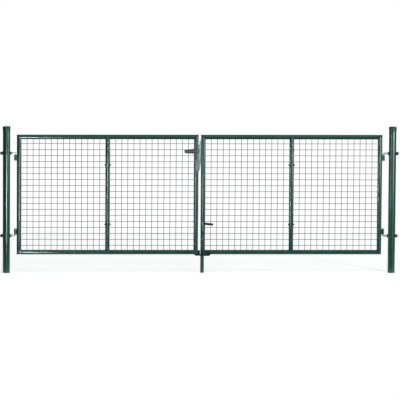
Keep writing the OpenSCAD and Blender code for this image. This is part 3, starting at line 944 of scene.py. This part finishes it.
@dataclass
class LeafFrame:
    """A leaf's tubes with their welds, hinge barrels and through bolts, in millimetres."""

    side: Side
    seam: float = 1.3

    def build(self) -> None:
        """Paints the tubes and adds what joins them."""
        for tube in ("hinge_stile", "meeting_stile", "top_rail", "bottom_rail", "middle_bar"):
            paint(f"{self.side.value}_{tube}", POWDER)
        for level in ("upper", "lower"):
            paint(f"{level}_{self.side.value}_barrel", POWDER)
        self._mitre_welds()
        self._barrel_welds()
        self._bolts()

    def _mitre_welds(self) -> None:
        """Lays a bead round each mitred corner and each end of the middle bar."""
        rail = Box.of(self.side.value + "_top_rail")
        low = Box.of(self.side.value + "_bottom_rail")
        bar = Box.of(self.side.value + "_middle_bar")
        radius = rail.size.z / 2
        ellipse = Weld(self.seam).ring(radius, math.sqrt(2))
        made = []
        for x, inward in ((rail.low.x + radius, 1), (rail.high.x - radius, -1)):
            for z, up in ((low.mid.z, 1), (rail.mid.z, -1)):
                made.append(Bench.copy(ellipse, (x, 0, z), -45 * inward * up, "Y"))
        saddle = self._saddle(ellipse)
        for z, turn in ((low.mid.z, 0), (rail.mid.z, 180)):
            made.append(Bench.copy(saddle, (bar.mid.x, 0, z), turn, "X"))
        Bench.discard(ellipse, saddle)
        fit(Bench.join(made), self.side.value + "_frame_welds", self.side.body, WELD, smooth=60)

    @staticmethod
    def _saddle(ellipse: Thing) -> Thing:
        """Folds a mitre's bead into the bead round a tube that stands on another.

        Args:
            ellipse: the flat bead.

        Returns:
            The folded bead, about the point where the two tubes' axes cross.
        """
        half = Bench.copy(ellipse, turn=-45, axis="Y")
        with Bench.editing(half):
            bpy.ops.mesh.bisect(plane_co=(0, 0, 0), plane_no=(1, 0, 0), clear_inner=True)
        Bench.modify(half, "MIRROR", use_clip=True, merge_threshold=0.1 * MM)
        return Bench.settle(half)

    def _barrel_welds(self) -> None:
        """Lays a bead down each side of each hinge barrel."""
        stile = Box.of(self.side.value + "_hinge_stile")
        made = []
        for level in ("upper", "lower"):
            barrel = Box.of(f"{level}_{self.side.value}_barrel")
            outer = barrel.low.x if self.side is Side.LEFT else barrel.high.x
            edge = stile.low.x if self.side is Side.LEFT else stile.high.x
            x = edge + self.side.out * 0.6
            for y in (-1, 1):
                deep = abs(edge - outer) * 0.44
                made.append(Weld(2.0, 0.4).line((x, y * deep, barrel.low.z + 2),
                                                (x, y * deep, barrel.high.z - 2)))
        fit(Bench.join(made), self.side.value + "_barrel_welds", self.side.body, WELD, smooth=60)

    def _bolts(self) -> None:
        """Fits the two bolts through the middle bar, with washers and lock nuts."""
        bolts, nuts = f"{self.side.value}_bar_bolts", f"{self.side.value}_bar_nuts"
        box, nut_box = Box.of(bolts), Box.of(nuts)
        across = box.size.y
        head = Hexagon(across, 6).build((box.low.x, 0, 0))
        shank = Bench.bar((box.low.x + 3, 0, 0), (box.high.x, 0, 0), 4, 0.8)
        dome = Bench.turned((box.low.x, 0, 0), (1, 0, 0), [
            (-0.01, 4.2), (0.5, 4.4), (0.6, 4.6)], 24)
        bolt = Bench.join([head, shank, dome])
        nut = Bench.join([
            Hexagon(across, nut_box.size.x - 1.6, 3.9).build((nut_box.low.x + 1.6, 0, 0)),
            Bench.turned((nut_box.low.x, 0, 0), (1, 0, 0), [
                (1.6, 4.1), (0.1, 4.1), (0.1, 7.6), (0.4, 8.0), (1.3, 8.0), (1.6, 7.7),
                (1.6, 4.1)], 32),
        ])
        edge = across / math.sqrt(3)
        moves = [(0, 0, z) for z in (box.low.z + edge, box.high.z - edge)]
        for one, node in ((bolt, bolts), (nut, nuts)):
            fit(Bench.join(Bench.spread(one, moves)), node + "_set", self.side.body, FASTENER,
                [node])
        Bench.discard(bolt, nut)


@dataclass
class MeshPanel:
    """A welded wire panel, sizes in millimetres."""

    side: Side
    place: str
    wire: float = 4.0
    pitch: float = 50.0
    reach: float = 1.2

    def build(self) -> None:
        """Draws the wires, welds their crossings and hangs the panel in its leaf."""
        node = f"{self.side.value}_{self.place}_mesh"
        box = Box.of(node)
        layer = box.size.y / 4
        reach, radius = self.reach, self.wire / 2
        xs, zs = ([middle + (i - (count - 1) / 2) * self.pitch for i in range(count)]
                  for middle, count in ((box.mid.x, math.floor(box.size.x / self.pitch)),
                                        (box.mid.z, math.floor(box.size.z / self.pitch))))
        upright = Bench.bar((0, -layer, box.low.z - reach), (0, -layer, box.high.z + reach),
                            radius, 0.3, 12)
        level = Bench.bar((box.low.x - reach, layer, 0), (box.high.x + reach, layer, 0),
                          radius, 0.3, 12)
        nub = Bench.turned((0, 0, 0), (0, 1, 0), [
            (-1.0, 0.6), (-0.5, 1.9), (0.5, 1.9), (1.0, 0.6)], 8)
        foot = Bench.turned((0, 0, 0), (0, 0, 1), [(-1.6, 2.9), (-0.4, 2.5), (1.0, 1.7)], 8)
        made = Bench.spread(upright, [(x, 0, 0) for x in xs])
        made += Bench.spread(level, [(0, 0, z) for z in zs])
        made += Bench.spread(nub, [(x, 0, z) for x in xs for z in zs])
        for turn, axis, moves in (
                (0, "X", [(x, -layer, box.low.z) for x in xs]),
                (180, "X", [(x, -layer, box.high.z) for x in xs]),
                (90, "Y", [(box.low.x, layer, z) for z in zs]),
                (-90, "Y", [(box.high.x, layer, z) for z in zs])):
            made += Bench.spread(foot, moves, turn, axis)
        Bench.discard(upright, level, nub, foot)
        fit(Bench.join(made), node + "_wires", self.side.body, WIRE, [node], smooth=50)


@dataclass
class Lever:
    """A lever handle drawn out from its rose, sizes in millimetres."""

    node: str
    neck_from: float = 26.6
    half_blade: float = 6.0
    sections: tuple[tuple[float, float, float, float], ...] = (
        # distance along the lever, half height, half thickness, drop
        (-13.6, 2.5, 1.6, 0.0),
        (-12.5, 6.5, 3.6, 0.0),
        (-8.0, 11.6, 5.4, 0.0),
        (0.0, 13.9, 5.9, 0.0),
        (14.0, 13.6, 5.7, 0.2),
        (32.0, 13.9, 5.6, 0.4),
        (52.0, 13.4, 5.5, 0.9),
        (72.0, 11.6, 5.4, 1.8),
        (90.0, 9.3, 5.1, 3.0),
        (102.0, 7.4, 4.9, 4.0),
        (109.0, 5.2, 4.0, 4.4),
        (111.6, 2.0, 1.6, 4.5),
    )

    def build(self) -> None:
        """Draws the blade section by section, adds its neck and hangs it on the spindle."""
        box = Box.of(self.node)
        front = box.low.y < 0
        out = -1 if front else 1
        y = (box.low.y if front else box.high.y) - out * self.half_blade
        rose = Box.of("front_rose")
        axis = Vector((rose.mid.x, y, rose.mid.z))
        Bench.clear()
        first = self.sections[0]
        bpy.ops.mesh.primitive_circle_add(vertices=20, radius=MM, fill_type="NGON",
                                          rotation=(0, math.pi / 2, 0))
        blade = bpy.context.object
        blade.scale = (first[1], first[2], 1)
        Bench.settle(blade, False)
        before = first
        with Bench.editing(blade):
            for now in self.sections[1:]:
                run = ((before[0] - now[0]) * MM, 0, (before[3] - now[3]) * MM)
                bpy.ops.mesh.extrude_region_move(TRANSFORM_OT_translate={"value": run})
                pivot = ((first[0] - now[0]) * MM, 0, -now[3] * MM)
                grow = (1, now[2] / before[2], now[1] / before[1])
                bpy.ops.transform.resize(value=grow, center_override=pivot)
                before = now
        blade.location = (axis - Vector((first[0], 0, 0))) * MM
        Bench.settle(blade)
        Bench.modify(blade, "SUBSURF", levels=1, render_levels=1)
        neck = Bench.turned((axis.x, out * self.neck_from, axis.z), (0, out, 0), [
            (-20.0, 9.0), (0.0, 9.0), (1.5, 8.6), (5.0, 8.4),
            (abs(y) - self.neck_from, 9.6)], 40)
        fit(Bench.join([blade, neck]), self.node + "_casting", "lever_set", CASTING,
            [self.node], 50)


@dataclass
class Lock:
    """The lock in the left leaf: plates, roses, cylinder, key and bolts, in millimetres."""

    edge: float = 1.2
    bitting: tuple[float, ...] = (1.4, 2.2, 0.9, 1.9, 1.2)
    tooth: float = 4.2
    bow_r: float = 9.0

    def build(self) -> None:
        """Builds the plates and furniture and paints what keeps its shape."""
        leaf = Side.LEFT.body
        for node in ("lock_case", "lever_spring", "cylinder_screw", "lock_follower", "spindle"):
            paint(node, ZINC)
        fit(self._forend(), "forend_strip", leaf, STRIP, ["lock_forend"])
        for face in ("front", "back"):
            rose, plate = face + "_rose", face + "_escutcheon"
            fit(self._rose(rose), rose + "_cover", leaf, NYLON, [rose])
            fit(Bench.refined(plate, self.edge, 3), plate + "_plate", leaf, SATIN, [plate], 40)
        for node, name, body, finish, edge in (
                ("key_cylinder", "profile_cylinder", leaf, BRASS, 0.4),
                ("cylinder_plug", "turning_plug", "key_set", BRASS, 0.25),
                ("key", "flat_key", "key_set", KEY, 0.25),
                ("latch_bolt", "sprung_latch", "latch", STRIP, 0.5),
                ("deadbolt", "dead_bolt", "deadbolt", STRIP, 0.7)):
            made = Bench.refined(node, edge)
            fit(self._key(made) if node == "key" else made, name, body, finish, [node])
        for face in ("front", "back"):
            Lever(face + "_lever").build()

    def _forend(self) -> Thing:
        """Eases the forend and sinks its two fixing screws.

        Returns:
            The forend with its screws.
        """
        box = Box.of("lock_forend")
        strip = Bench.refined("lock_forend", 0.5)
        heads = []
        for z in (box.low.z + 9, box.high.z - 9):
            sink = Bench.turned((box.high.x, 0, z), (-1, 0, 0), [(-0.1, 4.2), (2.0, 2.2)], 32)
            Bench.cut(strip, sink)
            head = Bench.turned((box.high.x, 0, z), (-1, 0, 0), [
                (0.15, 3.6), (0.3, 3.9), (2.0, 2.1), (2.6, 2.0)], 32)
            slot = Bench.block((box.high.x - 1.2, -4.5, z - 0.5), (box.high.x + 1, 4.5, z + 0.5))
            heads.append(Bench.cut(head, slot))
        return Bench.join([strip, *heads])

    def _rose(self, node: str) -> Thing:
        """Eases a rose and turns a bead into its face.

        Args:
            node: the CAD node that it stands for.

        Returns:
            The rose.
        """
        rose = Bench.refined(node, 1.6, 3)
        box = Box.of(node)
        out = -1 if box.low.y < 0 else 1
        face = box.low.y if out < 0 else box.high.y
        groove = Bench.turned((box.mid.x, face, box.mid.z), (0, out, 0), [
            (0.5, 11.2), (-0.5, 11.6), (-0.5, 11.9), (0.5, 12.3)], 48)
        hole = Bench.turned((box.mid.x, face, box.mid.z), (0, out, 0), [
            (-1.5, 10.8), (1.5, 10.8)], 48)
        return Bench.cut(rose, Bench.cut(groove, hole))

    def _key(self, key: Thing) -> Thing:
        """Raises the rim of the key's bow and files its bitting.

        Args:
            key: the key's eased shape.

        Returns:
            The key.
        """
        box = Box.of("key")
        x, z = box.mid.x, Box.of("key_cylinder").high.z - 8.5
        for i, deep in enumerate(self.bitting):
            y = box.high.y - 5 - i * self.tooth
            notch = Bench.turned((x - 3, y, z - 5.1), (1, 0, 0), [
                (0, 1.2 + deep), (6, 1.2 + deep)], 4)
            Bench.cut(key, notch)
        for out in (1, -1):
            panel = Bench.turned((x, box.low.y + 12, z), (out, 0, 0), [
                (0.7, self.bow_r), (2.0, self.bow_r + 0.4)], 40)
            Bench.cut(key, panel)
        return key


@dataclass
class DropBolt:
    """The keeper, guides, rod and handle on the right leaf, in millimetres."""

    reach: float = 98.0
    angle: float = -35.0

    def build(self) -> None:
        """Builds the keeper and handle and paints the rod and its guides."""
        fit(Bench.refined("keeper", 0.6), "keeper_angle", Side.RIGHT.body, STRIP, ["keeper"])
        paint("rod_guides", NYLON)
        self._rod()
        self._handle()

    def _rod(self) -> None:
        """Points the drop rod's foot so that it finds its socket."""
        box = Box.of("drop_rod")
        radius = box.size.x / 2
        tall = box.size.z
        rod = Bench.turned((box.mid.x, 0, box.low.z), (0, 0, 1), [
            (0, radius - 3.2), (0.8, radius - 2.2), (6, radius), (tall - 0.8, radius),
            (tall, radius - 0.8)], 48)
        fit(rod, "pointed_rod", "drop_rod", ZINC, ["drop_rod"])

    def _handle(self) -> None:
        """Moulds the ribbed grip on its stem."""
        box, rod = Box.of("drop_handle"), Box.of("drop_rod")
        grip_r = box.size.z / 2
        turn = math.radians(self.angle)
        axis = (math.cos(turn), math.sin(turn), 0)
        profile = [(7.6, 4.6), (8, 5.0), (22.5, 5.0), (23.0, 6.0), (24.0, grip_r - 1.2),
                   (25.2, grip_r)]
        for i in range(9):
            near = 32 + i * 6
            profile += [(near, grip_r), (near + 0.8, grip_r - 0.9), (near + 2.4, grip_r - 0.9),
                        (near + 3.2, grip_r)]
        profile += [(self.reach - 4.5, grip_r), (self.reach - 2.2, grip_r - 0.9),
                    (self.reach - 0.6, grip_r - 2.6), (self.reach, grip_r - 5.2)]
        handle = Bench.turned((rod.mid.x, 0, box.mid.z), axis, profile, 40)
        fit(handle, "ribbed_handle", "drop_handle", NYLON, ["drop_handle"], 30)


@dataclass
class GroundStop:
    """The pressed stop plate welded round its socket, in millimetres."""

    edge: float = 0.9

    def build(self) -> None:
        """Eases the plate and welds it to the socket."""
        plate = Bench.refined("ground_stop", self.edge)
        # The plate's near-black green is painted shade, not its own colour.
        fit(plate, "stop_plate", "posts", STOP_PAINTED_SHADE, ["ground_stop"])
        socket, stop = Box.of("ground_socket"), Box.of("ground_stop")
        radius = socket.size.x / 2
        ring = Weld(1.8, 0.4).ring(radius + 0.6)
        low = Bench.copy(ring, (socket.mid.x, 0, stop.low.z - 0.6))
        Bench.discard(ring)
        fit(low, "socket_weld", "posts", WELD, smooth=60)


# ---------------------------------------------------------------- the studio


@dataclass
class Studio:
    """Floor, lights and camera, sizes in metres and angles in degrees."""

    camera_at: Point = (-0.385, -45.0, 7.452)
    yaw: float = 2.525
    pitch: float = -8.64
    roll: float = 0.411
    lens: float = 496.0
    # name, place, target, width and height, watts, whether it shows in gloss alone
    lights: tuple[tuple[str, Point, Point, tuple[float, float], float, bool], ...] = (
        ("right_softbox", (7.0, -5.0, 1.0), (1.6, 0.0, 0.6), (0.5, 2.4), 200, False),
        ("top_softbox", (1.6, -2.5, 5.0), (1.6, 0.0, 0.6), (4.0, 2.0), 70, False),
        ("left_card", (0.18, -2.6, 0.24), (0.18, 0.0, 0.24), (0.13, 0.68), 52, True),
        ("right_card", (7.0, -5.0, 1.1), (1.6, 0.0, 0.6), (0.4, 1.6), 330, True),
        ("upper_card", (1.6, -4.0, 0.85), (1.6, 0.0, 0.85), (7.0, 1.2), 14, True),
    )

    def build(self) -> None:
        """Sets the floor, the lights and the camera."""
        bpy.context.scene.view_settings.view_transform = "Standard"
        self._floor()
        self._world()
        for light in self.lights:
            self._light(*light)
        self._camera()

    def _floor(self) -> None:
        """Lays a plain white floor."""
        Bench.clear()
        bpy.ops.mesh.primitive_plane_add(size=1, location=(1.595, 1.0, -0.0005))
        floor = bpy.context.object
        floor.scale = (5.2, 2.3, 1.0)
        Bench.settle(floor, False)
        floor.name = "floor"
        material = bpy.data.materials.new("white_studio_floor")
        material.use_nodes = True
        shader = material.node_tree.nodes["Principled BSDF"]
        white = linear("#f4f4f3")
        for key, value in (("Base Color", white), ("Roughness", 0.9),
                           ("Emission Color", white), ("Emission Strength", 0.68)):
            shader.inputs[key].default_value = value
        floor.data.materials.append(material)

    @staticmethod
    def _world() -> None:
        """Surrounds the scene with white that lights it softly and hardly shows in gloss."""
        world = bpy.data.worlds.new("studio")
        bpy.context.scene.world = world
        world.use_nodes = True
        tree = world.node_tree
        tree.nodes.clear()
        fill = add(tree, "Background", {"Color": linear("#eef2f4"), "Strength": 0.30})
        seen = add(tree, "Background", {"Color": (1, 1, 1, 1), "Strength": 1.0})
        path = add(tree, "LightPath")
        gloss = add(tree, "Background", {"Color": linear("#eef2f4"), "Strength": 0.12})
        soft = add(tree, "MixShader", None, {
            0: path.outputs["Is Glossy Ray"], 1: fill.outputs[0], 2: gloss.outputs[0]})
        mix = add(tree, "MixShader", None, {
            0: path.outputs["Is Camera Ray"], 1: soft.outputs[0], 2: seen.outputs[0]})
        add(tree, "OutputWorld", None, {"Surface": mix.outputs[0]})

    @staticmethod
    def _light(name: str, at: Point, target: Point, size: tuple[float, float], watts: float,
               gloss_only: bool) -> None:
        """Hangs one rectangular softbox, or a bright card that shows in gloss alone.

        Args:
            name: its name.
            at: where it hangs.
            target: what it faces.
            size: its width and height.
            watts: its power.
            gloss_only: whether it is a card.
        """
        lamp = bpy.data.lights.new(name, "AREA")
        lamp.shape = "RECTANGLE"
        lamp.size, lamp.size_y = size
        lamp.energy = watts
        holder = bpy.data.objects.new(name, lamp)
        bpy.context.scene.collection.objects.link(holder)
        holder.location = at
        holder.rotation_euler = (Vector(target) - Vector(at)).to_track_quat("-Z", "Y").to_euler()
        if gloss_only:
            holder.visible_diffuse = False
            lamp.color = linear("#dcfffa")[:3]

    def _camera(self) -> None:
        """Sets the camera a long way in front, a little over the gate."""
        lens = bpy.data.cameras.new("camera")
        lens.lens = self.lens
        lens.sensor_width = 36.0
        lens.clip_end = 200.0
        eye = bpy.data.objects.new("camera", lens)
        bpy.context.scene.collection.objects.link(eye)
        eye.location = self.camera_at
        turn = Matrix.Rotation(math.radians(-self.yaw), 4, "Z")
        tip = Matrix.Rotation(math.radians(90 + self.pitch), 4, "X")
        lean = Matrix.Rotation(math.radians(self.roll), 4, "Z")
        eye.rotation_euler = (turn @ tip @ lean).to_euler()
        bpy.context.scene.camera = eye


def main() -> None:
    """Builds the gate piece by piece, then the studio."""
    logging.basicConfig(level=logging.INFO, format="%(message)s")
    Posts().build()
    HookBolts().build()
    GroundStop().build()
    for side in Side:
        LeafFrame(side).build()
        for place in ("outer", "inner"):
            MeshPanel(side, place).build()
    Lock().build()
    DropBolt().build()
    Studio().build()


if __name__ == "__main__":
    main()
